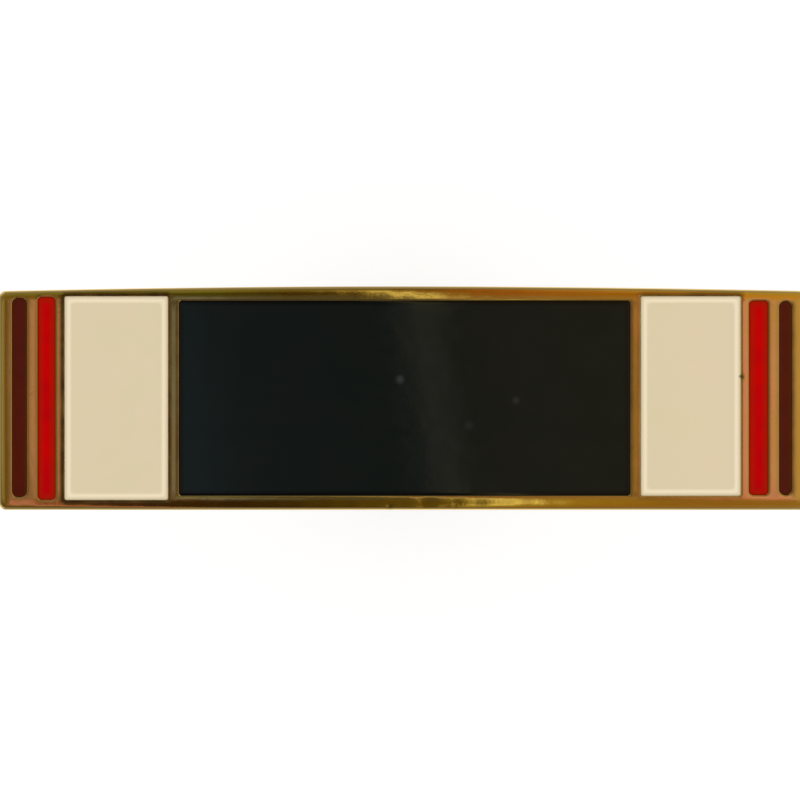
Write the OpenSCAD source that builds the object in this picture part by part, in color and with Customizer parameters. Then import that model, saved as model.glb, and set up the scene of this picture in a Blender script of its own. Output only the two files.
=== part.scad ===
// Ribbon pin: a struck, gold-plated metal bar whose face holds seven enamel stripes between thin
// metal walls, with a post soldered to its back and a barrel clutch pushed onto the post.
// It lies face up and stands on the flat end of its clutch. Z is up, X runs along the bar and
// Y across it. The origin is on the surface it stands on, under the middle of the bar.
// Millimetres throughout.

/* [Bar] */
// Length of the bar, along X
bar_length = 17.46; // [17.4:0.02:18]
// Greatest height of the bar, along Y, at mid length
bar_height = 4.83; // [4.76:0.01:5.2]
// How far the upper long edge bows out at mid length
edge_bow = 0.1; // [0:0.02:0.12]
// Thickness of the bar, from its back to the metal lands of its face
bar_thickness = 1.2; // [0.9:0.1:2]
// Radius of the bar's four corners, seen from the front
corner_radius = 0.15; // [0.15:0.05:0.3]
// Radius of the rounded edge round the face
front_edge_radius = 0.1; // [0.04:0.02:0.1]
// Radius of the rounded edge round the back
back_edge_radius = 0.06; // [0.02:0.02:0.1]

/* [Enamel] */
// Depth of the cells that hold the enamel
cell_depth = 0.4; // [0.2:0.05:0.6]
// How far the enamel lies below the metal lands
enamel_sink = 0.03; // [0.01:0.01:0.1]
// Gap between the enamel and the metal round it
enamel_gap = 0.01; // [0.01:0.01:0.03]

/* [Post] */
// Diameter of the post
post_diameter = 1.15; // [0.9:0.05:1.3]
// Length of the tapered point
post_point_length = 0.9; // [0.5:0.1:1.2]
// Diameter of the blunt end of the point
post_end_diameter = 0.3; // [0.2:0.1:0.6]
// Diameter of the solder foot round the post
foot_diameter = 2.6; // [2:0.1:3]
// Height of the solder foot
foot_height = 0.3; // [0.2:0.05:0.4]
// Thickness of the solder foot at its rim
foot_rim = 0.05; // [0.02:0.01:0.1]

/* [Clutch] */
// Diameter of the clutch, small enough to hide behind the bar
clutch_diameter = 4.6; // [4.2:0.1:4.6]
// Height of the clutch
clutch_height = 5.2; // [5:0.1:5.4]
// Room for cloth between the bar's back and the clutch
cloth_gap = 1; // [0.6:0.1:1.2]
// Thickness of the flange that presses on the cloth
flange_thickness = 0.8; // [0.6:0.1:1]
// Height of the neck between the flange and the barrel, for the fingers
neck_height = 0.9; // [0.6:0.1:1.2]
// Diameter of the neck
neck_diameter = 3.4; // [2.6:0.1:3.8]
// Radius of the rounded edges of the flange and the barrel
clutch_edge_radius = 0.25; // [0.1:0.05:0.25]
// Thickness of the closed end of the clutch
clutch_end_thickness = 0.8; // [0.6:0.1:0.8]
// Clearance round the post in the clutch's hole
hole_clearance = 0.05; // [0.02:0.01:0.1]
// Gap between the post's point and the closed end
point_gap = 0.1; // [0.05:0.05:0.3]

/* [Hidden] */

$fn = 96;

gold = "#c9a24a";
gold_clutch = "#b8934a";
maroon = "#4c1c0c";
red = "#b60c0c";
ivory = "#ddccaa";
black = "#161a15";

// The cells of the face, from left to right: the enamel's colour, where the cell's left, right,
// lower and upper edges lie from the middle of the bar, and the radius of its corners
MAROON_LEFT = [maroon, -8.43, -8.12, -2.13, 2.16, 0.12];
RED_LEFT = [red, -7.88, -7.50, -2.19, 2.18, 0.08];
IVORY_LEFT = [ivory, -7.31, -5.07, -2.20, 2.20, 0.05];
BLACK = [black, -4.83, 4.89, -2.10, 2.10, 0.05];
IVORY_RIGHT = [ivory, 5.12, 7.28, -2.11, 2.20, 0.05];
RED_RIGHT = [red, 7.46, 7.87, -2.09, 2.10, 0.08];
MAROON_RIGHT = [maroon, 8.11, 8.37, -2.09, 2.09, 0.12];
CELLS = [MAROON_LEFT, RED_LEFT, IVORY_LEFT, BLACK, IVORY_RIGHT, RED_RIGHT, MAROON_RIGHT];
function cell_colour(cell) = cell[0];
function cell_left(cell) = cell[1];
function cell_right(cell) = cell[2];
function cell_lower(cell) = cell[3];
function cell_upper(cell) = cell[4];
function cell_corner(cell) = cell[5];

// Heights of the faces above the surface that the pin stands on
back_z = clutch_height + cloth_gap;
land_z = back_z + bar_thickness;
cell_floor_z = land_z - cell_depth;
enamel_z = land_z - enamel_sink;
post_end_z = clutch_end_thickness + point_gap;
post_shoulder_z = post_end_z + post_point_length;
flange_z = clutch_height - flange_thickness;
barrel_top_z = flange_z - neck_height;
mouth_depth = 0.3;

half_length = bar_length / 2;
half_height = bar_height / 2;
post_radius = post_diameter / 2;
clutch_radius = clutch_diameter / 2;
hole_radius = post_radius + hole_clearance;
hole_mouth_radius = hole_radius + mouth_depth;
foot_radius = foot_diameter / 2;
foot_fillet = foot_height - foot_rim;
overlap = 0.01;

corner_steps = 5;
bow_steps = 16;
front_steps = 4;
back_steps = 2;

// Where the bowed upper edge lies at x
function upper_edge(x) = half_height - edge_bow * pow(x / half_length, 2);

// A quarter turn of a corner about [x, y], starting at angle
function corner(x, y, radius, angle) =
    [for (i = [0:corner_steps]) let (a = angle + 90 * i / corner_steps)
        [x + radius * cos(a), y + radius * sin(a)]];

// The bar's outline, anticlockwise, drawn in by inset on all sides
function outline(inset) =
    let (
        x = half_length - corner_radius,
        y_low = -half_height + corner_radius,
        y_high = upper_edge(x) - corner_radius,
        radius = corner_radius - inset
    )
    concat(
        corner(-x, y_low, radius, 180),
        corner(x, y_low, radius, 270),
        corner(x, y_high, radius, 0),
        [for (i = [1:bow_steps - 1]) let (bx = x - 2 * x * i / bow_steps)
            [bx, upper_edge(bx) - inset]],
        corner(-x, y_high, radius, 90)
    );

// The levels of the blank, from back to face, each [inset, z]: a quarter round, the side wall and
// the larger quarter round of the front edge
function levels() = concat(
    [for (i = [0:back_steps]) let (a = 90 * i / back_steps)
        [back_edge_radius * (1 - sin(a)), back_z + back_edge_radius * (1 - cos(a))]],
    [for (i = [0:front_steps]) let (a = 90 * i / front_steps)
        [front_edge_radius * (1 - cos(a)), land_z - front_edge_radius * (1 - sin(a))]]
);

// The struck blank: the outline lofted through the levels
module bar_blank() {
    rings = levels();
    count = len(outline(0));
    points = [for (level = rings) for (p = outline(level[0])) [p[0], p[1], level[1]]];
    last = count * (len(rings) - 1);
    walls = [for (ring = [0:len(rings) - 2]) for (i = [0:count - 1])
        let (a = ring * count + i, b = ring * count + (i + 1) % count)
        each [[a, a + count, b], [b, a + count, b + count]]];
    polyhedron(
        points = points,
        faces = concat([[for (i = [0:count - 1]) i]], walls, [[for (i = [count - 1:-1:0]) last + i]])
    );
}

// A cell's outline, drawn in by inset on all sides
module cell_outline(cell, inset) {
    x0 = cell_left(cell) + inset;
    x1 = cell_right(cell) - inset;
    y0 = cell_lower(cell) + inset;
    y1 = cell_upper(cell) - inset;
    r = cell_corner(cell) - inset;
    union() {
        translate([x0 + r, y0]) square([x1 - x0 - 2 * r, y1 - y0]);
        translate([x0, y0 + r]) square([x1 - x0, y1 - y0 - 2 * r]);
        for (x = [x0 + r, x1 - r], y = [y0 + r, y1 - r]) translate([x, y]) circle(r);
    }
}

// The post hangs from the bar's back: a hollow-sided solder foot, a round shaft and a point
module post() {
    translate([0, 0, post_shoulder_z])
        cylinder(h = back_z - post_shoulder_z + overlap, r = post_radius);
    translate([0, 0, post_end_z])
        cylinder(h = post_point_length, r1 = post_end_diameter / 2, r2 = post_radius);
    rotate_extrude() difference() {
        translate([0, back_z - foot_height]) square([foot_radius, foot_height + overlap]);
        translate([post_radius + foot_fillet, back_z - foot_height]) circle(foot_fillet);
        translate([post_radius + foot_fillet, back_z - foot_height - overlap])
            square([foot_radius, foot_fillet + overlap]);
    }
}

module plate() {
    color(gold) union() {
        difference() {
            bar_blank();
            for (cell = CELLS)
                translate([0, 0, cell_floor_z]) linear_extrude(cell_depth + 1) cell_outline(cell, 0);
        }
        post();
    }
}

// The enamel that fills one cell, short of the metal by the gap
module enamel(cell) {
    floor_z = cell_floor_z + enamel_gap;
    color(cell_colour(cell)) translate([0, 0, floor_z])
        linear_extrude(enamel_z - floor_z) cell_outline(cell, enamel_gap);
}

// Half of the section of a round band of the clutch, with rounded edges
module band_section(low_z, high_z) {
    r = clutch_edge_radius;
    height = high_z - low_z;
    translate([0, low_z]) square([clutch_radius - r, height]);
    translate([0, low_z + r]) square([clutch_radius, height - 2 * r]);
    for (z = [low_z + r, high_z - r]) translate([clutch_radius - r, z]) circle(r);
}

// A closed barrel, a neck and a flange, turned in one piece and drilled for the post
module clutch() {
    color(gold_clutch) difference() {
        rotate_extrude() union() {
            band_section(0, barrel_top_z);
            translate([0, barrel_top_z - overlap])
                square([neck_diameter / 2, neck_height + 2 * overlap]);
            band_section(flange_z, clutch_height);
        }
        translate([0, 0, clutch_end_thickness]) cylinder(h = clutch_height, r = hole_radius);
        translate([0, 0, clutch_height - mouth_depth])
            cylinder(h = mouth_depth, r1 = hole_radius, r2 = hole_mouth_radius);
    }
}

plate();
enamel(MAROON_LEFT);  // enamel_maroon_left
enamel(RED_LEFT);  // enamel_red_left
enamel(IVORY_LEFT);  // enamel_ivory_left
enamel(BLACK);  // enamel_black
enamel(IVORY_RIGHT);  // enamel_ivory_right
enamel(RED_RIGHT);  // enamel_red_right
enamel(MAROON_RIGHT);  // enamel_maroon_right
clutch();
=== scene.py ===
"""Looks of a ribbon pin: a struck, gold-plated bar with seven enamel stripes, and its clutch.

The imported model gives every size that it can: each stripe is poured into the box of its own node,
and the metal is struck round those stripes. X runs along the bar, Y across it and Z up. Lengths are
in millimetres, but finished meshes and what is said to be in metres are in metres.
"""
import logging
import math
from collections.abc import Callable
from dataclasses import dataclass, field
from enum import Enum

import bmesh
import bpy
import numpy as np
from mathutils import Matrix, Vector
from mathutils.geometry import delaunay_2d_cdt


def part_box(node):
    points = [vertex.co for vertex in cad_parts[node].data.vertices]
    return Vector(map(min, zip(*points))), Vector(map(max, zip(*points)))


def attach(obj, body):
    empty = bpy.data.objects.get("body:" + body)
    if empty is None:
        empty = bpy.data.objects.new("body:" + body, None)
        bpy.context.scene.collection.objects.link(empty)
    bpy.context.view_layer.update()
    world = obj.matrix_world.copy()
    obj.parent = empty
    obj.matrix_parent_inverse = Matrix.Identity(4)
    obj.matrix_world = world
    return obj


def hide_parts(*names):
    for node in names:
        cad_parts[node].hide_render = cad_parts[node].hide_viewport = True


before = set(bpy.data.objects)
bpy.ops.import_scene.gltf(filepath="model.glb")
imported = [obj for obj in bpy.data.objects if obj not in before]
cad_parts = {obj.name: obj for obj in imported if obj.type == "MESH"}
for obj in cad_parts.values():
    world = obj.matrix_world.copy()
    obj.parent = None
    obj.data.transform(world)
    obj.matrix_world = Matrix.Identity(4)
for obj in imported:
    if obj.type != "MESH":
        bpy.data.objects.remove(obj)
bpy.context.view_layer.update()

log = logging.getLogger("ribbon_pin")

MM = 0.001
BODY = "root"

Array = np.ndarray
Edges = list[bmesh.types.BMEdge]
Material = bpy.types.Material
Node = bpy.types.Node
Piece = bpy.types.Object
Socket = bpy.types.NodeSocket
Tree = bpy.types.NodeTree
Colour = tuple[float, float, float]
Grain = tuple[float, float, float]
Point = tuple[float, float]
Span = tuple[float, float]
Stops = tuple[tuple[float, float, float, float], ...]

NUMBER = "NodeSocketFloat"
VECTOR = "NodeSocketVector"
COLOUR = "NodeSocketColor"
GEOMETRY = "NodeSocketGeometry"
WHOLE = "NodeSocketInt"
MATERIAL = "NodeSocketMaterial"
WHITE = (1.0, 1.0, 1.0)
WARM = (1.0, 0.97, 0.9)

# Where the middle of a noise begins and ends, and how much detail each shared noise has
NOISE_SPAN = (0.3, 0.7)
CLOUD_SPAN = (0.35, 0.65)
CLOUD_DETAIL = 3.0
LINE_DETAIL = 1.0
BREAK_SPAN = (0.5, 0.62)
BREAK_DETAIL = 2.0
# Scale of the noise that breaks a hairline, as a share of the line's own
BREAK_SCALE = 0.37
# Past this angle an edge of a mesh stays sharp, in degrees
SHARP = 50.0
# Steps of a rounded corner or edge, for a quarter turn
QUARTER_STEPS = 6
# How close a point of the face lies to an outline that it counts as being on
ON_EDGE = 0.001
# Closer than this, two points of the face are one
SAME_POINT = 1e-5
# How far below the cells' floors the metal still counts as face
UNDER_FLOOR = 0.01
# Closer than this, in metres, two points of a swept mesh are one
MERGE = 1e-8
# Shorter than this, in metres, an edge of a swept mesh is dissolved
DEGENERATE = 1e-9


def opaque(colour: Colour) -> tuple[float, float, float, float]:
    """Gives a colour the alpha that a colour socket asks for."""
    return (*colour, 1.0)


@dataclass(frozen=True)
class Wire:
    """A value that runs through a tree. Arithmetic on it places Math nodes.

    Attributes:
        bench: The bench of its tree.
        socket: The output socket that it comes from.
    """

    bench: "Bench"
    socket: Socket

    def __add__(self, other: "Value") -> "Wire":
        """Adds to it."""
        return self.bench.math("ADD", self, other)

    def __sub__(self, other: "Value") -> "Wire":
        """Takes away from it."""
        return self.bench.math("SUBTRACT", self, other)

    def __rsub__(self, other: float) -> "Wire":
        """Takes it away from a number."""
        return self.bench.math("SUBTRACT", other, self)

    def __mul__(self, other: "Value") -> "Wire":
        """Multiplies it."""
        return self.bench.math("MULTIPLY", self, other)

    def __truediv__(self, other: "Value") -> "Wire":
        """Divides it."""
        return self.bench.math("DIVIDE", self, other)


Value = Wire | Material | Tree | float | str | tuple[float, ...]


@dataclass(frozen=True)
class Bench:
    """Places the nodes of one shader or geometry tree and joins them.

    Attributes:
        tree: The node tree that is worked on.
    """

    tree: Tree

    def feed(self, socket: Socket, value: Value) -> None:
        """Joins an input to a wire, or sets it to a plain value.

        Args:
            socket: The input.
            value: What feeds it.
        """
        if isinstance(value, Wire):
            self.tree.links.new(value.socket, socket)
        else:
            socket.default_value = value

    def put(self, kind: str, inputs: dict[str | int, Value] | None = None, **settings: Value) -> Node:
        """Places a node.

        Args:
            kind: The node's type.
            inputs: What feeds its inputs, by name or by number.
            **settings: The node's own properties.

        Returns:
            The new node.
        """
        node = self.tree.nodes.new(kind)
        for name, value in settings.items():
            setattr(node, name, value)
        for key, value in (inputs or {}).items():
            self.feed(node.inputs[key], value)
        return node

    def wire(self, kind: str, inputs: dict[str | int, Value] | None = None, output: str | int = 0,
             **settings: Value) -> Wire:
        """Places a node in the same way and gives one of its results."""
        return Wire(self, self.put(kind, inputs, **settings).outputs[output])

    def math(self, operation: str, first: Value, second: Value = 0.0) -> Wire:
        """Places a Math node."""
        return self.wire("ShaderNodeMath", {0: first, 1: second}, operation=operation)

    def vector(self, operation: str, first: Value, second: Value = (0.0, 0.0, 0.0),
               output: str | int = 0) -> Wire:
        """Places a Vector Math node."""
        return self.wire("ShaderNodeVectorMath", {0: first, 1: second}, output, operation=operation)

    def axes(self, vector: Wire) -> list[Wire]:
        """Splits a vector into X, Y and Z."""
        return [Wire(self, axis) for axis in self.put("ShaderNodeSeparateXYZ", {0: vector}).outputs]

    def ramp(self, value: Value, low: float, high: float, start: float = 0.0, end: float = 1.0) -> Wire:
        """Maps a value smoothly, from start where it is low to end where it is high."""
        inputs = {"Value": value, "From Min": low, "From Max": high, "To Min": start, "To Max": end}
        return self.wire("ShaderNodeMapRange", inputs, interpolation_type="SMOOTHSTEP")

    def mix(self, share: Value, first: Value, second: Value) -> Wire:
        """Mixes two colours, with share as how much of the second there is."""
        return self.wire("ShaderNodeMix", {0: share, 6: first, 7: second}, 2, data_type="RGBA")

    def noise(self, place: Wire, scale: Value, detail: float, roughness: float = 0.5) -> Wire:
        """Gives a noise from 0 to 1."""
        inputs = {"Vector": place, "Scale": scale, "Detail": detail, "Roughness": roughness}
        return self.wire("ShaderNodeTexNoise", inputs, "Fac")

    def group(self, tree: Tree, inputs: dict[str, Value]) -> Wire:
        """Places a node group and gives its result."""
        return self.wire("ShaderNodeGroup", inputs, node_tree=tree)

    def attribute(self, name: str) -> Wire:
        """Gives a number that the mesh carries at each of its points."""
        return self.wire("ShaderNodeAttribute", output="Fac", attribute_name=name)

    def bump(self, height: Wire, depth: float, **under: Wire) -> Wire:
        """Gives the normal of a relief of the given depth, on top of a Normal that it is given."""
        inputs = {"Strength": 1.0, "Distance": depth * MM, "Height": height, **under}
        return self.wire("ShaderNodeBump", inputs)

    def emission(self, colour: Value, strength: Value) -> Wire:
        """Gives a shader that only glows."""
        return self.wire("ShaderNodeEmission", {"Color": colour, "Strength": strength})

    def glossy(self) -> Wire:
        """Tells light that gloss or metal reflects from all other light."""
        return self.wire("ShaderNodeLightPath", output="Is Glossy Ray")

    def either(self, share: Wire, first: Wire, second: Wire) -> Wire:
        """Mixes two shaders, with share as how much of the second there is."""
        return self.wire("ShaderNodeMixShader", {0: share, 1: first, 2: second})

    def place(self, stretch: tuple[float, float, float] = (1.0, 1.0, 1.0), turn: float = 0.0) -> Wire:
        """Gives object coordinates in millimetres, stretched and turned about Z.

        Args:
            stretch: Factors along X, Y and Z.
            turn: The angle about Z, in radians.

        Returns:
            The coordinates.
        """
        source = self.wire("ShaderNodeTexCoord", output="Object")
        factors = tuple(factor / MM for factor in stretch)
        inputs = {"Vector": source, "Rotation": (0.0, 0.0, turn), "Scale": factors}
        return self.wire("ShaderNodeMapping", inputs)


def new_group(name: str, kind: str, inputs: dict[str, str],
              outputs: dict[str, str]) -> tuple[Bench, list[Wire], Socket]:
    """Makes an empty node group with named sockets.

    Args:
        name: The group's name.
        kind: The type of tree, ShaderNodeTree or GeometryNodeTree.
        inputs: The type of each input, by name.
        outputs: The type of its one output, by name.

    Returns:
        The bench of the tree, the wires of its inputs, and the socket that its result feeds.
    """
    tree = bpy.data.node_groups.new(name, kind)
    for sockets, in_out in ((inputs, "INPUT"), (outputs, "OUTPUT")):
        for socket, socket_type in sockets.items():
            tree.interface.new_socket(name=socket, in_out=in_out, socket_type=socket_type)
    bench = Bench(tree)
    given = bench.put("NodeGroupInput").outputs
    result = bench.put("NodeGroupOutput").inputs[0]
    return bench, [Wire(bench, socket) for socket in given][:len(inputs)], result


def clouds_group() -> Tree:
    """Builds the group that drifts softly between two colours, in enamel and metal alike.

    Returns:
        The group's tree.
    """
    bench, (place, first, second, scale, share), result = new_group(
        "clouds", "ShaderNodeTree",
        {"Vector": VECTOR, "First": COLOUR, "Second": COLOUR, "Scale": NUMBER, "Share": NUMBER},
        {"Color": COLOUR},
    )
    mask = bench.ramp(bench.noise(place, scale, CLOUD_DETAIL), *CLOUD_SPAN)
    bench.feed(result, bench.mix(mask * share, first, second))
    return bench.tree


def hairlines_group() -> Tree:
    """Builds the group of fine scratches: broken thin lines along the given vector's X.

    Returns:
        The group's tree.
    """
    bench, (place, scale, width, share), result = new_group(
        "hairlines", "ShaderNodeTree",
        {"Vector": VECTOR, "Scale": NUMBER, "Width": NUMBER, "Share": NUMBER}, {"Mask": NUMBER},
    )
    off_line = bench.math("ABSOLUTE", bench.noise(place, scale, LINE_DETAIL) - 0.5)
    line = bench.ramp(off_line / width, 0.0, 1.0, 1.0, 0.0)
    unbroken = bench.ramp(bench.noise(place, scale * BREAK_SCALE, BREAK_DETAIL), *BREAK_SPAN)
    bench.feed(result, line * unbroken * share)
    return bench.tree


def speck_group() -> Tree:
    """Builds the group of one round speck, given where it lies and how wide it is.

    Returns:
        The group's tree.
    """
    bench, (place, centre, radius, strength), result = new_group(
        "speck", "ShaderNodeTree",
        {"Vector": VECTOR, "Centre": VECTOR, "Radius": NUMBER, "Strength": NUMBER}, {"Mask": NUMBER},
    )
    gap = bench.vector("DISTANCE", bench.vector("MULTIPLY", place, (1.0, 1.0, 0.0)), centre, "Value")
    bench.feed(result, bench.ramp(gap / radius, 0.0, 1.0, 1.0, 0.0) * strength)
    return bench.tree


@dataclass
class Workshop:
    """Holds the node groups that the finishes share, each built once.

    Attributes:
        clouds: Soft drift between two colours.
        hairlines: Fine scratches.
        speck: One round speck.
    """

    clouds: Tree = field(default_factory=clouds_group)
    hairlines: Tree = field(default_factory=hairlines_group)
    speck: Tree = field(default_factory=speck_group)


def new_material(name: str) -> tuple[Material, Bench]:
    """Makes a material with an empty tree.

    Args:
        name: The material's name.

    Returns:
        The material and the bench of its tree.
    """
    material = bpy.data.materials.new(name)
    material.use_nodes = True
    material.node_tree.nodes.clear()
    return material, Bench(material.node_tree)


@dataclass(frozen=True, kw_only=True)
class Finish:
    """What every finish has: two colours that it drifts between, and a shader.

    Attributes:
        name: The material's name.
        slot: A slot name; not used.
        body: The main colour.
        cloud: The colour that drifts through it.
        cloud_share: How far the drift goes, from 0 to 1.
        cloud_scale: How close together its clouds are.
    """

    name: str
    slot: str
    body: Colour
    cloud: Colour
    cloud_share: float
    cloud_scale: float = 1.1

    def drift(self, bench: Bench, place: Wire, clouds: Tree) -> Wire:
        """Places the group that drifts between the two colours, and gives its result."""
        return bench.group(clouds, {
            "Vector": place, "First": opaque(self.body), "Second": opaque(self.cloud),
            "Scale": self.cloud_scale, "Share": self.cloud_share,
        })

    def surface(self, bench: Bench, inputs: dict[str, Value]) -> None:
        """Ends the material's tree in a Principled BSDF."""
        bench.put("ShaderNodeOutputMaterial", {"Surface": bench.wire("ShaderNodeBsdfPrincipled", inputs)})


@dataclass(frozen=True)
class Speck:
    """A speck or pit in the enamel.

    Attributes:
        x: Place along the bar.
        y: Place across the bar.
        radius: Its radius.
        strength: How strongly it shows, from 0 to 1.
    """

    x: float
    y: float
    radius: float
    strength: float


@dataclass(frozen=True, kw_only=True)
class EnamelFinish(Finish):
    """Glossy enamel of one colour.

    Attributes:
        edge: The colour of a band beside the metal: lighter in the ivory, a painted highlight along the
            enamel's edge; lighter in the maroon, darker in the red and black.
        edge_share: How far the edge takes that colour.
        edge_from: Where the edge band is strongest, from the stripe's edge in.
        edge_reach: How wide the band is.
        roughness: Roughness of the gloss.
        haze: Factors of that roughness where it is clearest and haziest.
        haze_grain: Scale, detail and roughness of the noise between the two.
        ripple: Depth of the surface ripple.
        ripple_grain: The same of its noise.
        gloss: Index of refraction, which sets how strong the gloss is.
        specks: The specks that lie in it.
        speck_colour: Their colour.
    """

    edge: Colour
    edge_share: float
    edge_from: float = 0.03
    edge_reach: float = 0.1
    roughness: float = 0.06
    haze: Span = (0.8, 1.3)
    haze_grain: Grain = (3.0, 5.0, 0.5)
    ripple: float = 0.0012
    ripple_grain: Grain = (2.2, 4.0, 0.45)
    gloss: float = 1.4
    specks: tuple[Speck, ...] = ()
    speck_colour: Colour = (0.12, 0.13, 0.13)

    def material(self, shop: Workshop) -> Material:
        """Builds the material.

        Args:
            shop: The shared node groups.

        Returns:
            The new material.
        """
        material, bench = new_material(self.name)
        place = bench.place()
        # A band of the edge colour beside the metal; in the ivory it is a painted highlight along the
        # enamel's edge
        away = bench.math("ABSOLUTE", bench.attribute("from_edge") - self.edge_from)
        band = bench.ramp(away, 0.0, self.edge_reach, self.edge_share, 0.0)
        colour = bench.mix(band, self.drift(bench, place, shop.clouds), opaque(self.edge))
        for speck in self.specks:
            mask = bench.group(shop.speck, {
                "Vector": place, "Centre": (speck.x, speck.y, 0.0), "Radius": speck.radius,
                "Strength": speck.strength,
            })
            colour = bench.mix(mask, colour, opaque(self.speck_colour))
        clear, dull = (self.roughness * factor for factor in self.haze)
        self.surface(bench, {
            "Base Color": colour,
            "Roughness": bench.ramp(bench.noise(place, *self.haze_grain), *NOISE_SPAN, clear, dull),
            "Normal": bench.bump(bench.noise(place, *self.ripple_grain), self.ripple),
            "IOR": self.gloss,
        })
        return material


@dataclass(frozen=True, kw_only=True)
class MetalFinish(Finish):
    """Gold plate on brass.

    Attributes:
        shade_colour: Colour of the painted shade on the metal beside the enamel, and of the darker metal in
            the dents.
        shade_least: Share of that painted shade that is left where the noise thins it most.
        shade_grain: Scale, detail and roughness of the noise that thins it.
        roughness: Roughness of the polished faces.
        satin: Roughness of the faces below the satin height.
        satin_below: Height under which the metal was only tumbled.
        satin_blend: How far down the change to it goes.
        wear: How much rougher the scratches and the painted-shade band beside the enamel are.
        scratch_stretch: Factors along X, Y and Z that draw the scratches out.
        scratch_turn: The angle that they lie at, in radians.
        scratch_scale: How close together they are.
        scratch_width: How wide they are, as a share of the noise's waves.
        scratch_share: How strong they are, from 0 to 1.
        scratch_depth: Their depth, as a share of the grain's.
        grain: Depth of the grain.
        fine_grain: Scale, detail and roughness of its noise.
        turned: Depth of the fine rings that turning leaves.
        ring_stretch: Factors along X, Y and Z that lay the rings flat.
        ring_grain: Scale, detail and roughness of their noise.
    """

    shade_colour: Colour
    roughness: float
    satin: float
    satin_below: float
    grain: float
    cloud_share: float = 0.35
    cloud_scale: float = 0.9
    turned: float = 0.0
    shade_least: float = 0.7
    shade_grain: Grain = (1.7, 4.0, 0.5)
    satin_blend: float = 0.1
    wear: float = 0.12
    scratch_stretch: tuple[float, float, float] = (0.5, 2.6, 1.4)
    scratch_turn: float = 0.9
    scratch_scale: float = 1.6
    scratch_width: float = 0.012
    scratch_share: float = 0.7
    scratch_depth: float = 0.4
    fine_grain: Grain = (14.0, 3.0, 0.6)
    ring_stretch: tuple[float, float, float] = (0.15, 0.15, 9.0)
    ring_grain: Grain = (3.0, 4.0, 0.7)

    def material(self, shop: Workshop) -> Material:
        """Builds the material.

        Args:
            shop: The shared node groups.

        Returns:
            The new material.
        """
        material, bench = new_material(self.name)
        place = bench.place()
        # The mesh's shade attribute holds painted shade beside the enamel and darker metal in the dents; a
        # noise thins it in patches, and it darkens the base colour and raises the roughness
        shade_patches = bench.ramp(bench.noise(place, *self.shade_grain), *NOISE_SPAN, self.shade_least, 1.0)
        shaded_band = bench.attribute("painted_shade") * shade_patches
        scratched = bench.group(shop.hairlines, {
            "Vector": bench.place(self.scratch_stretch, self.scratch_turn), "Scale": self.scratch_scale,
            "Width": self.scratch_width, "Share": self.scratch_share,
        })
        satin_end = self.satin_below - self.satin_blend
        base = bench.ramp(bench.axes(place)[2], satin_end, self.satin_below, self.satin, self.roughness)
        height = bench.noise(place, *self.fine_grain) - scratched * self.scratch_depth
        normal = bench.bump(height, self.grain)
        if self.turned:
            rings = bench.noise(bench.place(self.ring_stretch), *self.ring_grain)
            normal = bench.bump(rings, self.turned, Normal=normal)
        self.surface(bench, {
            "Base Color": bench.mix(shaded_band, self.drift(bench, place, shop.clouds), opaque(self.shade_colour)),
            "Roughness": base + (scratched + shaded_band) * self.wear,
            "Normal": normal,
            "Metallic": 1.0,
        })
        return material


BLACK_SPECKS = (
    Speck(-0.071, 0.404, 0.14, 0.20),
    Speck(2.430, -0.050, 0.13, 0.09),
    Speck(1.416, -0.587, 0.15, 0.06),
)
IVORY_SPECKS = (Speck(7.270, 0.469, 0.060, 0.8),)


class Stripe(Enum):
    """The enamels of the face."""

    MAROON = EnamelFinish(
        name="maroon enamel", slot="maroon_enamel",
        body=(0.072, 0.0052, 0.0008), cloud=(0.058, 0.0045, 0.0012), cloud_share=0.7,
        edge=(0.092, 0.018, 0.004), edge_share=0.5, edge_from=0.0, edge_reach=0.07, gloss=1.3,
    )
    RED = EnamelFinish(
        name="red enamel", slot="red_enamel",
        body=(0.545, 0.0002, 0.0006), cloud=(0.42, 0.0002, 0.0035), cloud_share=0.8,
        edge=(0.340, 0.0100, 0.0008), edge_share=0.9, edge_from=0.0, edge_reach=0.19, gloss=1.10,
    )
    IVORY = EnamelFinish(
        name="ivory enamel", slot="ivory_enamel",
        body=(0.735, 0.615, 0.412), cloud=(0.720, 0.618, 0.400), cloud_share=0.8,
        # The ivory's lighter edge band is a painted highlight along the enamel's edge
        edge=(0.935, 0.805, 0.570), edge_share=0.8, edge_from=0.095, edge_reach=0.075,
        specks=IVORY_SPECKS, speck_colour=(0.100, 0.070, 0.040),
    )
    BLACK = EnamelFinish(
        name="black enamel", slot="black_enamel",
        body=(0.0042, 0.0068, 0.0062), cloud=(0.0052, 0.0070, 0.0062), cloud_share=0.8,
        edge=(0.002, 0.002, 0.002), edge_share=0.8, specks=BLACK_SPECKS,
    )


# On the bar, the shade colour is painted shade on the metal beside the enamel
BAR_METAL = MetalFinish(
    name="polished gold plate", slot="gold_plate", body=(0.94, 0.69, 0.27), cloud=(0.88, 0.60, 0.20),
    shade_colour=(0.130, 0.075, 0.025), roughness=0.08, satin=0.26, satin_below=6.3, grain=0.0004,
)
CLUTCH_METAL = MetalFinish(
    name="satin gold plate", slot="clutch_brass", body=(0.92, 0.70, 0.33), cloud=(0.86, 0.62, 0.26),
    shade_colour=(0.25, 0.16, 0.06), roughness=0.24, satin=0.24, satin_below=0.0, grain=0.0003,
    cloud_share=0.25, turned=0.0009,
)


def quarter_round(away: Array, radius: float) -> Array:
    """Gives how far an edge that is rounded to a radius has dropped, at distances from the edge."""
    inward = np.clip(radius - away, 0.0, radius)
    return radius - np.sqrt(radius * radius - inward * inward)


def crown(away: Array, reach: float, depth: float) -> Array:
    """Gives how far a land has dropped that falls by a depth over a reach, at distances from its edge."""
    return depth * np.square(1.0 - np.clip(away / reach, 0.0, 1.0))


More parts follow.
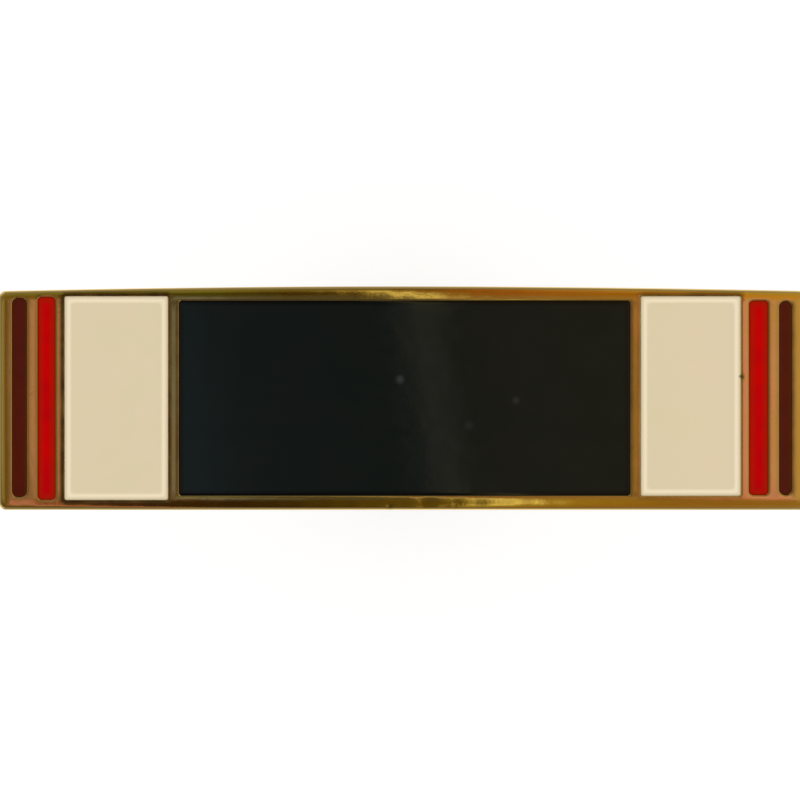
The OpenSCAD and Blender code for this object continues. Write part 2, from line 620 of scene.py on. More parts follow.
def arc(centre: Point, radius: float, start: float, steps: int) -> list[Point]:
    """Gives the points of a quarter turn, anticlockwise from a start in degrees, both ends included."""
    angles = [math.radians(start + 90.0 * step / steps) for step in range(steps + 1)]
    return [(centre[0] + radius * math.cos(a), centre[1] + radius * math.sin(a)) for a in angles]


def between(first: float, last: float, spacing: float) -> list[float]:
    """Divides a stretch evenly and gives the points inside it, without its ends."""
    steps = max(1, round(abs(last - first) / spacing))
    return [first + (last - first) * step / steps for step in range(1, steps)]


@dataclass(frozen=True)
class Outline:
    """A rectangle with rounded corners, whose upper edge may bow.

    Attributes:
        left: Its left edge.
        right: Its right edge.
        lower: Its lower edge.
        upper: Its upper edge at mid length.
        corner: Radius of its corners.
        bow: How far the upper edge falls towards the ends.
    """

    left: float
    right: float
    lower: float
    upper: float
    corner: float
    bow: float = 0.0

    @classmethod
    def of_node(cls, node: str, corner: float, grow: float = 0.0, bow: float = 0.0) -> "Outline":
        """Takes the outline of a node's box, drawn out by grow on all sides."""
        low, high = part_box(node)
        return cls(
            low.x / MM - grow, high.x / MM + grow, low.y / MM - grow, high.y / MM + grow, corner + grow, bow
        )

    @property
    def half_length(self) -> float:
        """Half of the length along X."""
        return (self.right - self.left) / 2

    @property
    def half_height(self) -> float:
        """Half of the height along Y."""
        return (self.upper - self.lower) / 2

    @property
    def middle(self) -> Point:
        """The middle of the outline."""
        return ((self.left + self.right) / 2, (self.lower + self.upper) / 2)

    def fall(self, x: Array | float) -> Array | float:
        """Gives how far the bowed upper edge has fallen at x."""
        away = np.minimum(np.abs(x - self.middle[0]), self.half_length - self.corner)
        return self.bow * np.square(away / self.half_length)

    def depth(self, x: Array, y: Array) -> Array:
        """Gives how deep inside the outline points lie.

        Args:
            x: Their X.
            y: Their Y.

        Returns:
            The distance to the outline, positive inside and negative outside.
        """
        centre_x, centre_y = self.middle
        level = np.where(y > centre_y, y + self.fall(x), y)
        over_x = np.abs(x - centre_x) - (self.half_length - self.corner)
        over_y = np.abs(level - centre_y) - (self.half_height - self.corner)
        outside = np.hypot(np.maximum(over_x, 0.0), np.maximum(over_y, 0.0))
        inside = np.minimum(np.maximum(over_x, over_y), 0.0)
        return self.corner - outside - inside

    def ring(self, inset: float, spacing: float, steps: int) -> list[Point]:
        """Gives the points of the outline drawn in, anticlockwise from its lower left corner.

        Args:
            inset: How far it is drawn in, or out where negative.
            spacing: Distance between the points of a straight stretch.
            steps: How many steps a corner is cut into.

        Returns:
            The points.
        """
        radius = max(self.corner - inset, 0.0)
        turn = max(self.corner, inset)
        x0, x1 = self.left + turn, self.right - turn
        y0, y1 = self.lower + turn, self.upper - turn - float(self.fall(self.right))
        return [
            *arc((x0, y0), radius, 180.0, steps),
            *((x, self.lower + inset) for x in between(x0, x1, spacing)),
            *arc((x1, y0), radius, 270.0, steps),
            *((self.right - inset, y) for y in between(y0, y1, spacing)),
            *arc((x1, y1), radius, 0.0, steps),
            *((x, self.upper - float(self.fall(x)) - inset) for x in between(x1, x0, spacing)),
            *arc((x0, y1), radius, 90.0, steps),
            *((self.left + inset, y) for y in between(y1, y0, spacing)),
        ]


@dataclass(frozen=True)
class SideShade:
    """How much painted shade the metal beside a cell gets, from 0 to 1 on each side.

    Attributes:
        left: Beside its left edge.
        right: Beside its right edge.
        upper: Above its upper edge.
        lower: Below its lower edge.
        blend: Width of the change from side to side round its corners.
    """

    left: float
    right: float
    upper: float
    lower: float
    blend: float = 0.12

    def beside(self, cell: Outline, x: Array, y: Array) -> Array:
        """Gives how much painted shade there is at points beside a cell.

        Args:
            cell: The cell's outline.
            x: X of the points.
            y: Y of the points.

        Returns:
            The painted shade at each point.
        """
        middle_x, middle_y = cell.middle
        side = np.where(x < middle_x, self.left, self.right)
        end = np.where(y < middle_y, self.lower, self.upper)
        over = np.abs(x - middle_x) - cell.half_length - np.abs(y - middle_y) + cell.half_height
        return end + np.clip(0.5 + over / self.blend, 0.0, 1.0) * (side - end)


@dataclass(frozen=True)
class Nick:
    """A small dent in the metal.

    Attributes:
        x: Place along the bar.
        y: Place across the bar.
        radius: Its radius.
        depth: Its depth.
        darkening: How much darker the metal is painted in it, from 0 to 1.
        steepness: How steeply it rises to its edge.
        ring_shares: Radii of the rings of points that show it, as shares of its own.
        ring_points: How many points each ring has.
    """

    x: float
    y: float
    radius: float
    depth: float
    darkening: float = 0.0
    steepness: float = 2.0
    ring_shares: tuple[float, ...] = (0.35, 0.7, 1.05, 1.4)
    ring_points: int = 10

    def shape(self, x: Array, y: Array) -> Array:
        """Gives how far into the dent points lie, from 0 outside to 1 at its middle."""
        near = np.hypot(x - self.x, y - self.y) / self.radius
        return np.exp(-self.steepness * near * near)

    def points(self) -> list[Point]:
        """Gathers points that are close enough together to show the dent.

        Returns:
            The points, its middle first.
        """
        found = [(self.x, self.y)]
        for share in self.ring_shares:
            reach = self.radius * share
            for turn in range(self.ring_points):
                angle = math.tau * (turn + share) / self.ring_points
                found.append((self.x + reach * math.cos(angle), self.y + reach * math.sin(angle)))
        return found


def boundary(bm: bmesh.types.BMesh, test: Callable[[bmesh.types.BMVert], bool]) -> Edges:
    """Finds the open edges whose two ends pass a test."""
    return [edge for edge in bm.edges if edge.is_boundary and all(test(end) for end in edge.verts)]


def draw_out(bm: bmesh.types.BMesh, edges: Edges, move: Callable[[Vector], Vector]) -> Edges:
    """Draws a wall out from a loop of edges.

    Args:
        bm: The mesh.
        edges: The open edges that the wall starts from.
        move: Gives the new place of a vertex from its old one.

    Returns:
        The edges at the wall's far end.
    """
    made = bmesh.ops.extrude_edge_only(bm, edges=edges)["geom"]
    for vertex in (item for item in made if isinstance(item, bmesh.types.BMVert)):
        vertex.co = move(vertex.co)
    return [item for item in made if isinstance(item, bmesh.types.BMEdge) and item.is_boundary]


def shown(name: str, mesh: bpy.types.Mesh) -> Piece:
    """Puts a mesh into the scene as an object at the origin.

    Args:
        name: The object's name.
        mesh: The mesh.

    Returns:
        The object.
    """
    piece = bpy.data.objects.new(name, mesh)
    bpy.context.scene.collection.objects.link(piece)
    return piece


def hand_over(piece: Piece, node: str) -> None:
    """Lets a finished piece stand for its node, and logs it.

    Args:
        piece: The piece.
        node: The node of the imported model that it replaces.
    """
    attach(piece, BODY)
    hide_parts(node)
    piece.data.calc_loop_triangles()
    log.info("%s: %d triangles", piece.name, len(piece.data.loop_triangles))


@dataclass
class Plate:
    """The struck bar with its seven cells, and the post that is soldered to its back.

    Attributes:
        cells: The outlines of the cells.
        side_shades: How much painted shade the metal beside each cell gets.
        nicks: Dents in the face.
        nick_clear: How far their points stay from the outlines, in units of those outlines' rounding.
        corner: Radius of the bar's corners.
        bow: How far the bar's upper edge falls towards its ends.
        rim_round: How far the rounded edge round the face falls.
        rim_width: Width of that rounded edge, seen from the front.
        rim_reach: How far in from the bar's edge the rim begins to fall.
        rim_fall: How far it falls before the rounded edge.
        rim_lines: Where lines of points follow the rim, past the rounded edge.
        wall_round: Radius of the rounded edge round each cell.
        wall_reach: How far from a cell the metal begins to fall.
        wall_fall: How far it falls before that rounded edge.
        wall_lines: Where lines of points follow a cell, past the rounded edge.
        line_spacing: Distance between the points of those lines.
        unevenness: Height of the waver that polishing leaves.
        waver_level: The level that it wavers about, as a share of that height.
        waves: Its waves, each with its length along X and Y and its start. The first two cross.
        short_wave: How high the third is, as a share of that height.
        thickness: Thickness of the bar.
        cell_depth: Depth of the cells.
        back_round: Radius of the rounded edge round the back.
        post_radius: Radius of the post.
        post_tip: Points of its tapered end, each a radius and a height above the lowest.
        post_turns: How many sides the post has.
        foot_radius: Radius of the solder foot.
        foot_height: Height of the solder foot.
        foot_steps: How many steps its hollow side is cut into.
        foot_edge: Points of its edge, each an inset from it and a depth below the back.
        seam_share: How dark the painted shade line where metal and enamel meet is at least, from 0 to 1.
        seam_reach: Width of that line.
        shade_full: How far from a cell the painted shade is at its darkest.
        shade_reach: How far from a cell the painted shade ends.
    """

    cells: list[Outline]
    side_shades: list[SideShade]
    nicks: tuple[Nick, ...]
    nick_clear: float = 0.05
    corner: float = 0.15
    bow: float = 0.1
    rim_round: float = 0.1
    rim_width: float = 0.135
    rim_reach: float = 0.28
    rim_fall: float = 0.0135
    rim_lines: tuple[float, ...] = (0.155, 0.18, 0.21, 0.25)
    wall_round: float = 0.03
    wall_reach: float = 0.06
    wall_fall: float = 0.0012
    wall_lines: tuple[float, ...] = (0.045, 0.06, 0.08, 0.1, 0.13)
    line_spacing: float = 0.1
    unevenness: float = 0.0006
    waver_level: float = 1.15
    waves: tuple[tuple[float, float, float], ...] = ((1.9, 3.1, 0.7), (0.83, -1.7, 0.0), (0.41, 0.57, 2.1))
    short_wave: float = 0.15
    thickness: float = 1.2
    cell_depth: float = 0.4
    back_round: float = 0.06
    post_radius: float = 0.575
    post_tip: tuple[Point, ...] = ((0.575, 0.95), (0.555, 0.85), (0.18, 0.06), (0.15, 0.02), (0.12, 0.0))
    post_turns: int = 64
    foot_radius: float = 1.3
    foot_height: float = 0.3
    foot_steps: int = 8
    foot_edge: tuple[Point, ...] = ((0.0, 0.02), (0.02, 0.045), (0.06, 0.05))
    seam_share: float = 0.25
    seam_reach: float = 0.045
    shade_full: float = 0.05
    shade_reach: float = 0.12

    def __post_init__(self) -> None:
        """Takes the bar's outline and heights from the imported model."""
        low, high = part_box("plate")
        self.outline = Outline.of_node("plate", self.corner, bow=self.bow)
        self.land_z = high.z / MM
        self.back_z = self.land_z - self.thickness
        self.post_z = low.z / MM

    def drop(self, x: Array, y: Array) -> Array:
        """Gives how far the face lies below its highest lands.

        Args:
            x: X of the points.
            y: Y of the points.

        Returns:
            The drop of each point.
        """
        depth = np.maximum(self.outline.depth(x, y), 0.0)
        total = quarter_round(depth * self.rim_round / self.rim_width, self.rim_round)
        total += crown(depth, self.rim_reach, self.rim_fall) + self.waver(x, y)
        for cell in self.cells:
            away = np.maximum(-cell.depth(x, y), 0.0)
            total += quarter_round(away, self.wall_round) + crown(away, self.wall_reach, self.wall_fall)
        for nick in self.nicks:
            total += nick.depth * nick.shape(x, y)
        return np.maximum(total, 0.0)

    def waver(self, x: Array, y: Array) -> Array:
        """Gives the unevenness that polishing leaves: two long waves that cross, and a short one."""
        first, second, short = (
            np.sin(math.tau * (x / long_x + y / long_y) + start) for long_x, long_y, start in self.waves
        )
        return self.unevenness * (self.waver_level + first * second + self.short_wave * short)

    def face_points(self) -> tuple[list[Point], list[tuple[int, int]]]:
        """Gathers the points of the face, on rings drawn in from the rim and out from each cell.

        Returns:
            The points, and the pairs of them that an edge joins.
        """
        turns = [math.radians(90.0 * step / QUARTER_STEPS) for step in range(QUARTER_STEPS + 1)]
        bends = [1.0 - math.cos(turn) for turn in turns]
        rim = [self.rim_width * bend for bend in bends] + [*self.rim_lines]
        wall = [self.wall_round * bend for bend in bends] + [*self.wall_lines]
        families = [(self.outline, 1.0, rim, self.rim_width)]
        families += [(cell, -1.0, wall, self.wall_round) for cell in self.cells]
        points: list[Point] = []
        edges: list[tuple[int, int]] = []
        for own, sign, insets, reach in families:
            for inset in insets:
                ring = own.ring(sign * inset, self.line_spacing, QUARTER_STEPS)
                nearest = self.nearness(*np.array(ring).T, own)
                names: list[int | None] = []
                for point, gap in zip(ring, nearest):
                    kept = gap > inset / reach or inset == 0.0
                    names.append(len(points) if kept else None)
                    if kept:
                        points.append(point)
                pairs = zip(names, names[1:] + names[:1])
                edges += [pair for pair in pairs if None not in pair]
        for nick in self.nicks:
            near = np.array(nick.points())
            points += [tuple(place) for place in near[self.nearness(*near.T, None) > self.nick_clear]]
        return points, edges

    def nearness(self, x: Array, y: Array, own: Outline | None) -> Array:
        """Gives how near points come to the outlines other than their own.

        Args:
            x: X of the points.
            y: Y of the points.
            own: The outline that is left out.

        Returns:
            The least distance, each in units of that outline's rounding.
        """
        gaps = [-cell.depth(x, y) / self.wall_round for cell in self.cells if cell is not own]
        if own is not self.outline:
            gaps.append(self.outline.depth(x, y) / self.rim_width)
        return np.min(np.array(gaps), axis=0)

    def face(self, bm: bmesh.types.BMesh) -> None:
        """Builds the relief of the face, from the rim to the edges of the cells.

        Args:
            bm: The mesh that it is added to.
        """
        points, edges = self.face_points()
        found = delaunay_2d_cdt([Vector(point) for point in points], edges, [], 0, SAME_POINT)
        places, _, triangles, *_ = found
        x, y = np.array([tuple(place) for place in places]).T
        heights = self.land_z - self.drop(x, y)
        corners = np.array(triangles)
        on_land = self.nearness(x[corners].mean(axis=1), y[corners].mean(axis=1), None) > 0.0
        land = corners[on_land]
        made = {name: bm.verts.new((x[name], y[name], heights[name])) for name in np.unique(land)}
        for triangle in land:
            bm.faces.new([made[name] for name in triangle])

    def sink_cells(self, bm: bmesh.types.BMesh) -> None:
        """Draws the walls of the cells down and closes their floors.

        Args:
            bm: The mesh that they are added to.
        """
        floor_z = self.land_z - self.cell_depth
        for cell in self.cells:
            foot = draw_out(bm, self.edge_of(bm, cell), lambda co: Vector((co.x, co.y, floor_z)))
            bmesh.ops.triangle_fill(bm, edges=foot, use_beauty=True)

    def edge_of(self, bm: bmesh.types.BMesh, outline: Outline) -> Edges:
        """Finds the open edges of the face that lie on an outline."""
        return boundary(bm, lambda end: abs(float(outline.depth(end.co.x, end.co.y))) < ON_EDGE)

    def inward(self, co: Vector, inset: float, z: float) -> Vector:
        """Moves a point on the bar's outline in, square to the outline, and to a height.

        Args:
            co: The point.
            inset: How far in it moves.
            z: The height.

        Returns:
            Its new place.
        """
        middle_x, middle_y = self.outline.middle
        straight_x = self.outline.half_length - self.corner
        straight_y = self.outline.half_height - self.corner
        fall = float(self.outline.fall(co.x)) if co.y > middle_y else 0.0
        over_x = max(abs(co.x - middle_x) - straight_x, 0.0) * math.copysign(1.0, middle_x - co.x)
        over_y = max(abs(co.y + fall - middle_y) - straight_y, 0.0) * math.copysign(1.0, middle_y - co.y)
        away = Vector((over_x, over_y)).normalized()
        return Vector((co.x + away.x * inset, co.y + away.y * inset, z))

    def close_sides(self, bm: bmesh.types.BMesh) -> Edges:
        """Draws the side of the bar down and round its back edge.

        Args:
            bm: The mesh that it is added to.

        Returns:
            The loop of edges round the flat back.
        """
        loop = self.edge_of(bm, self.outline)
        loop = draw_out(bm, loop, lambda co: self.inward(co, 0.0, self.back_z + self.back_round))
        before = 0.0
        for turn in (math.pi / 3, math.pi / 6, 0.0):
            inset = self.back_round * (1.0 - math.sin(turn))
            z = self.back_z + self.back_round * (1.0 - math.cos(turn))
            loop = draw_out(bm, loop, lambda co, step=inset - before, z=z: self.inward(co, step, z))
            before = inset
        return loop

    def post_profile(self) -> list[Point]:
        """Gives the section of the solder foot and the post, from the back on.

        Returns:
            The points, each a radius and a height.
        """
        fillet = self.foot_height - self.foot_edge[-1][1]
        centre = (self.post_radius + fillet, self.back_z - self.foot_height)
        return [
            *((self.foot_radius - inset, self.back_z - down) for inset, down in self.foot_edge),
            *arc(centre, fillet, 90.0, self.foot_steps),
            *((radius, self.post_z + up) for radius, up in self.post_tip),
        ]

    def close_back(self, bm: bmesh.types.BMesh, loop: Edges) -> None:
        """Closes the flat back round the solder foot and draws the post out of it.

        Args:
            bm: The mesh that they are added to.
            loop: The edges round the flat back.
        """
        turns = [math.tau * turn / self.post_turns for turn in range(self.post_turns)]
        foot = [
            bm.verts.new((self.foot_radius * math.cos(a), self.foot_radius * math.sin(a), self.back_z))
            for a in turns
        ]
        ring = [bm.edges.new((first, second)) for first, second in zip(foot, foot[1:] + foot[:1])]
        bmesh.ops.triangle_fill(bm, edges=loop + ring, use_beauty=True)
        for radius, z in self.post_profile():
            def stretch(co: Vector, radius: float = radius, z: float = z) -> Vector:
                """Moves a point of the post to a radius and a height."""
                return (co.xy.normalized() * radius).to_3d() + Vector((0.0, 0.0, z))
            ring = draw_out(bm, ring, stretch)
        bmesh.ops.triangle_fill(bm, edges=ring, use_beauty=True)

    def mark(self, mesh: bpy.types.Mesh) -> None:
        """Writes how much painted shade each point gets beside the cells and on the line where metal meets
        enamel, with the darker metal in the dents, from 0 to 1.

        Args:
            mesh: The finished mesh, still in millimetres.
        """
        x, y, z = np.array([tuple(vertex.co) for vertex in mesh.vertices]).T
        painted_shade = np.zeros(len(x))
        # Painted shade beside each cell, side by side, and a painted shade line where the metal meets the
        # enamel
        for cell, darkening in zip(self.cells, self.side_shades):
            cell_shade = darkening.beside(cell, x, y)
            away = -cell.depth(x, y)
            band = (self.shade_reach - away) / (self.shade_reach - self.shade_full)
            line = (self.seam_reach - away) / (self.seam_reach - self.wall_round)
            painted_shade = np.maximum(painted_shade, cell_shade * np.clip(band, 0.0, 1.0))
            painted_shade = np.maximum(painted_shade, np.maximum(cell_shade, self.seam_share) * np.clip(line, 0.0, 1.0))
        for nick in self.nicks:
            painted_shade += nick.darkening * nick.shape(x, y)
        in_face = z > self.land_z - self.cell_depth - UNDER_FLOOR
        attribute = mesh.attributes.new("painted_shade", "FLOAT", "POINT")
        attribute.data.foreach_set("value", np.clip(painted_shade * in_face, 0.0, 1.0).astype(np.float32))

    def build(self, shop: Workshop) -> None:
        """Builds the bar and dresses it.

        Args:
            shop: The shared node groups.
        """
        bm = bmesh.new()
        self.face(bm)
        self.sink_cells(bm)
        self.close_back(bm, self.close_sides(bm))
        bmesh.ops.recalc_face_normals(bm, faces=bm.faces)
        mesh = bpy.data.meshes.new("bar")
        bm.to_mesh(mesh)
        bm.free()
        self.mark(mesh)
        mesh.transform(Matrix.Scale(MM, 4))
        mesh.shade_smooth()
        mesh.set_sharp_from_angle(angle=math.radians(SHARP))
        mesh.materials.append(BAR_METAL.material(shop))
        hand_over(shown("bar", mesh), "plate")


def ring_grid(bench: Bench, geometry: Wire, columns: Value) -> tuple[Wire, Wire, list[Wire]]:
    """Starts a tree that sweeps the profile points of its own mesh round a closed path.

    Args:
        bench: The tree's bench.
        geometry: The mesh of the profile.
        columns: How many places round the path there are, the first repeated at the end.

    Returns:
        The grid, the number of each point's column, and the X, Y and Z of the profile point of its row.
    """
    rows = bench.wire("GeometryNodeAttributeDomainSize", {0: geometry}, "Point Count")
    grid = bench.wire("GeometryNodeMeshGrid", {"Vertices X": columns, "Vertices Y": rows}, "Mesh")
    index = bench.wire("GeometryNodeInputIndex")
    column = bench.math("FLOOR", (index + 0.5) / rows)
    row = bench.math("ROUND", index - column * rows)
    position = bench.wire("GeometryNodeInputPosition")
    sampled = {"Geometry": geometry, "Value": position, "Index": row}
    point = bench.wire("GeometryNodeSampleIndex", sampled, data_type="FLOAT_VECTOR")
    return grid, column, bench.axes(point)


def finish_tree(bench: Bench, mesh: Wire, material: Wire, result: Socket) -> Tree:
    """Closes the seam and the poles of a swept mesh and gives it its material.

    Args:
        bench: The tree's bench.
        mesh: The swept mesh.
        material: The tree's material input.
        result: The socket that the tree's result feeds.

    Returns:
        The finished tree.
    """
    merged = bench.wire("GeometryNodeMergeByDistance", {"Geometry": mesh, "Distance": MERGE})
    smooth = bench.wire("GeometryNodeSetShadeSmooth", {"Geometry": merged})
    real = bench.wire("GeometryNodeRealizeInstances", {0: smooth})
    bench.feed(result, bench.wire("GeometryNodeSetMaterial", {"Geometry": real, "Material": material}))
    bench.tree.is_modifier = True
    return bench.tree


def lathe_tree() -> Tree:
    """Builds the tree that turns a profile, given as radius in X and height in Z, round the Z axis.

    Returns:
        The tree.
    """
    bench, (geometry, turns, material), result = new_group(
        "lathe", "GeometryNodeTree",
        {"Geometry": GEOMETRY, "Turns": WHOLE, "Material": MATERIAL}, {"Geometry": GEOMETRY},
    )
    grid, column, (radius, _, height) = ring_grid(bench, geometry, turns + 1.0)
    angle = column / turns * math.tau
    place = bench.wire("ShaderNodeCombineXYZ", {
        "X": radius * bench.math("COSINE", angle), "Y": radius * bench.math("SINE", angle), "Z": height,
    })
    turned = bench.wire("GeometryNodeSetPosition", {"Geometry": grid, "Position": place})
    return finish_tree(bench, turned, material, result)


def pour_tree() -> Tree:
    """Builds the tree that fills a stripe: a profile swept round a rectangle with rounded corners.

    The profile's points give the inset from the outline in X, whether the ring is drawn together to
    the middle in Y, and the height in Z. An inset corner keeps a radius of at least Least Corner and
    Softening times the inset.

    Returns:
        The tree.
    """
    bench, given, result = new_group(
        "enamel pour", "GeometryNodeTree",
        {
            "Geometry": GEOMETRY, "Centre": VECTOR, "Half Length": NUMBER, "Half Width": NUMBER,
            "Corner": NUMBER, "Least Corner": NUMBER, "Softening": NUMBER, "Corner Steps": WHOLE,
            "Material": MATERIAL,
        },
        {"Geometry": GEOMETRY},
    )
    geometry, centre, half_length, half_width, corner, least_corner, softening, steps, material = given
    a_corner = steps + 1.0
    around = a_corner * 4.0
    grid, column, (inset, closing, height) = ring_grid(bench, geometry, around + 1.0)
    place = bench.math("MODULO", column, around)
    quarter = bench.math("FLOOR", (place + 0.5) / a_corner)
    share = (place - quarter * a_corner) / steps
    angle = (quarter + share) * (math.pi / 2)
    diagonal = (quarter + 0.5) * (math.pi / 2)
    softened = bench.math("MAXIMUM", least_corner, inset * softening)
    wished = bench.math("MAXIMUM", corner - inset, softened)
    radius = bench.math("MINIMUM", wished, half_length - inset)
    keep = 1.0 - closing

    def along(half: Wire, turn: str) -> Wire:
        """Gives the place along one axis, from the outline's half size and the angle's operation."""
        side = bench.math("SIGN", bench.math(turn, diagonal))
        return keep * (side * (half - inset - radius) + radius * bench.math(turn, angle))

    spot = bench.wire("ShaderNodeCombineXYZ", {
        "X": along(half_length, "COSINE"), "Y": along(half_width, "SINE"), "Z": height,
    })
    from_edge = {"Geometry": grid, "Name": "from_edge", "Value": inset / MM + closing}
    marked = bench.wire("GeometryNodeStoreNamedAttribute", from_edge, data_type="FLOAT", domain="POINT")
    moved = {"Geometry": marked, "Position": bench.vector("ADD", spot, centre)}
    return finish_tree(bench, bench.wire("GeometryNodeSetPosition", moved), material, result)


def run_tree(name: str, tree: Tree, profile: list[tuple[float, float, float]],
             values: dict[str, Value]) -> Piece:
    """Runs a sweeping tree and keeps its result as a plain mesh.

    Args:
        name: The piece's name.
        tree: The geometry node tree.
        profile: The points of the profile, in metres.
        values: What each named input is set to.

    Returns:
        The object with the plain mesh, linked into the scene.
    """
    start = bpy.data.meshes.new(name + " profile")
    start.from_pydata(profile, [(i, i + 1) for i in range(len(profile) - 1)], [])
    piece = shown(name, start)
    modifier = piece.modifiers.new("shape", "NODES")
    modifier.node_group = tree
    sockets = {item.name: item.identifier for item in tree.interface.items_tree if item.in_out == "INPUT"}
    for socket, value in values.items():
        modifier[sockets[socket]] = value
    graph = bpy.context.evaluated_depsgraph_get()
    mesh = bpy.data.meshes.new_from_object(
        piece.evaluated_get(graph), preserve_all_data_layers=True, depsgraph=graph
    )
    piece.modifiers.remove(modifier)
    piece.data = mesh
    mesh.name = name
    bm = bmesh.new()
    bm.from_mesh(mesh)
    bmesh.ops.dissolve_degenerate(bm, dist=DEGENERATE, edges=bm.edges)
    bmesh.ops.recalc_face_normals(bm, faces=bm.faces)
    bm.to_mesh(mesh)
    bm.free()
    mesh.set_sharp_from_angle(angle=math.radians(SHARP))
    return piece


@dataclass
class EnamelStripe:
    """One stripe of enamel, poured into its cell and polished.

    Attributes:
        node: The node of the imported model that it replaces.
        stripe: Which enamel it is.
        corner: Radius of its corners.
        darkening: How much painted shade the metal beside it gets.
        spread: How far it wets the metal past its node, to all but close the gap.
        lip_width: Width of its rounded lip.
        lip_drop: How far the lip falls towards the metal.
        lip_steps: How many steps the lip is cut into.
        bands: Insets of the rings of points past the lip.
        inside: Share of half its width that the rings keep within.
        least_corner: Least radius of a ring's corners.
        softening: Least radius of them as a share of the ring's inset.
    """

    node: str
    stripe: Stripe
    corner: float
    darkening: SideShade
    spread: float = 0.008
    lip_width: float = 0.02
    lip_drop: float = 0.008
    lip_steps: int = 4
    bands: tuple[float, ...] = (0.06, 0.08, 0.11, 0.14, 0.17)
    inside: float = 0.9
    least_corner: float = 0.01
    softening: float = 0.6

    def profile(self, half_width: float) -> list[tuple[float, float, float]]:
        """Gives the points of the section, from the middle of the base to the middle of the top.

        Args:
            half_width: Half of the stripe's width.

        Returns:
            The points in metres, as inset, closing and height.
        """
        low, high = (corner.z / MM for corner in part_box(self.node))
        points = [(0.0, 1.0, low), (0.0, 0.0, low)]
        for step in range(self.lip_steps + 1):
            turn = math.radians(90.0 * step / self.lip_steps)
            inset = self.lip_width * (1.0 - math.cos(turn))
            points.append((inset, 0.0, high - self.lip_drop * (1.0 - math.sin(turn))))
        points += [(inset, 0.0, high) for inset in self.bands if inset < self.inside * half_width]
        points.append((points[-1][0], 1.0, high))
        return [(inset * MM, closing, z * MM) for inset, closing, z in points]

    def build(self, tree: Tree, material: Material) -> None:
        """Pours the stripe.

        Args:
            tree: The tree that pours it.
            material: Its material.
        """
        outline = Outline.of_node(self.node, self.corner, self.spread)
        centre_x, centre_y = outline.middle
        piece = run_tree(self.node.replace("enamel", "stripe"), tree, self.profile(outline.half_length), {
            "Centre": (centre_x * MM, centre_y * MM, 0.0),
            "Half Length": outline.half_length * MM,
            "Half Width": outline.half_height * MM,
            "Corner": outline.corner * MM,
            "Least Corner": self.least_corner * MM,
            "Softening": self.softening,
            "Corner Steps": QUARTER_STEPS,
            "Material": material,
        })
        hand_over(piece, self.node)


@dataclass
class Clutch:
    """The plain barrel clutch, turned in one piece and drilled for the post.

    Attributes:
        barrel_top: Height of the barrel.
        flange_bottom: Height at which the flange begins.
        neck_radius: Radius of the neck.
        neck_cut: Size of the small bevels at both ends of the neck.
        edge_round: Radius of the rounded edges.
        base_line: How far in from its rounded edge a line of points keeps the base flat.
        hole_radius: Radius of the hole.
        mouth_depth: Depth of the hole's widened mouth.
        mouth_edge: Points of the mouth's edge, each how far out of the mouth and how far down.
        hole_floor: Height of the hole's closed end.
        turns: How many sides it is turned with.
    """

    barrel_top: float = 3.5
    flange_bottom: float = 4.4
    neck_radius: float = 1.7
    neck_cut: float = 0.04
    edge_round: float = 0.25
    base_line: float = 0.02
    hole_radius: float = 0.625
    mouth_depth: float = 0.3
    mouth_edge: tuple[Point, ...] = ((0.03, 0.0), (-0.01, 0.02))
    hole_floor: float = 0.8
    turns: int = 96

    def section(self) -> list[Point]:
        """Gives the section from the middle of the base, over the top and down into the hole.

        Returns:
            The points, each a radius and a height.
        """
        low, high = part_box("clutch")
        bottom, top = low.z / MM, high.z / MM
        inner = high.x / MM - self.edge_round
        mouth = self.hole_radius + self.mouth_depth

        def edge(z: float, start: float) -> list[Point]:
            """Gives a rounded edge, from where its centre lies and the angle it starts at."""
            return arc((inner, z), self.edge_round, start, QUARTER_STEPS)

        return [
            (0.0, bottom),
            (inner - self.base_line, bottom),
            *edge(bottom + self.edge_round, 270.0),
            *edge(self.barrel_top - self.edge_round, 0.0),
            (self.neck_radius + self.neck_cut, self.barrel_top),
            (self.neck_radius, self.barrel_top + self.neck_cut),
            (self.neck_radius, self.flange_bottom - self.neck_cut),
            (self.neck_radius + self.neck_cut, self.flange_bottom),
            *edge(self.flange_bottom + self.edge_round, 270.0),
            *edge(top - self.edge_round, 0.0),
            *((mouth + out, top - down) for out, down in self.mouth_edge),
            (self.hole_radius, top - self.mouth_depth),
            (self.hole_radius, self.hole_floor),
            (0.0, self.hole_floor),
        ]

    def build(self, tree: Tree, shop: Workshop) -> None:
        """Turns the clutch.

        Args:
            tree: The tree that turns it.
            shop: The shared node groups.
        """
        profile = [(radius * MM, 0.0, z * MM) for radius, z in self.section()]
        inputs = {"Turns": self.turns, "Material": CLUTCH_METAL.material(shop)}
        hand_over(run_tree("barrel_clutch", tree, profile, inputs), "clutch")


